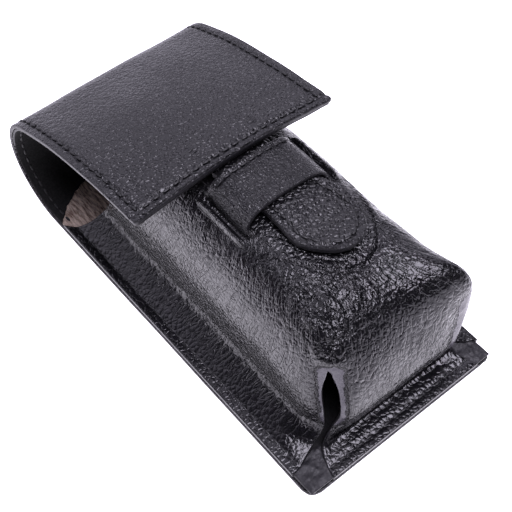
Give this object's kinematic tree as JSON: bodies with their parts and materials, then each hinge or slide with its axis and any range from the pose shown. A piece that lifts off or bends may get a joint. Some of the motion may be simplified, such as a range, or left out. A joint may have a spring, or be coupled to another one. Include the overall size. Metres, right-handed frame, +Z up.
{
  "type": "leather carrying case",
  "caption": "Small black leather carrying case: a moulded pocket sewn to a flat back, with a fold-over flap whose tab tucks under a keeper strap.",
  "frame": {"origin": "bottom centre of the closed case as it lies on its back", "axes": "+Z up through the front, +Y towards the fold at the top of the case, +X across the width to the right when seen from the front with the fold away"},
  "size_m": [0.058, 0.1215, 0.044],
  "materials": {
    "hide": "black pebbled grain, satin",
    "moulded_hide": "black pebbled grain, satin, stretched and wrinkled at the corners",
    "lining": "smooth black lining, matt",
    "tab_back": "smooth black, matt",
    "thread": "waxed black thread"
  },
  "bodies": {
    "case": {"back_outer": "hide", "back_lining": "lining", "pocket": "moulded_hide", "keeper": "hide", "pocket_thread_left": "thread", "pocket_thread_right": "thread", "pocket_thread_bottom": "thread", "keeper_thread_left": "thread", "keeper_thread_right": "thread", "keeper_thread_hem": "thread"},
    "spine": {"spine_outer": "hide", "spine_lining": "lining", "spine_thread_left": "thread", "spine_thread_right": "thread"},
    "flap": {"flap_outer": "hide", "flap_lining": "lining", "flap_thread_left": "thread", "flap_thread_right": "thread", "flap_thread_front": "thread", "tab_tack_thread": "thread"},
    "tab": {"tab_outer": "hide", "tab_lining": "tab_back", "tab_thread": "thread"}
  },
  "joints": [
    {"name": "spine_hinge", "type": "hinge", "parent": "case", "child": "spine", "pos_m": [0, 0.05684, 0.00376], "axis": [-1, 0, 0], "range_deg": [0, 90]},
    {"name": "flap_hinge", "type": "hinge", "parent": "spine", "child": "flap", "pos_m": [0, 0.05862, 0.02713], "axis": [-1, 0, 0], "range_deg": [0, 66]},
    {"name": "tab_flex", "type": "hinge", "parent": "flap", "child": "tab", "pos_m": [0, -0.0006, 0.0406], "axis": [-1, 0, 0], "range_deg": [0, 60], "deforming": ["tab_outer", "tab_lining", "tab_thread"]}
  ],
  "couplings": [
    {"joint": "flap_hinge", "follows": "spine_hinge", "ratio": 0.7333}
  ]
}
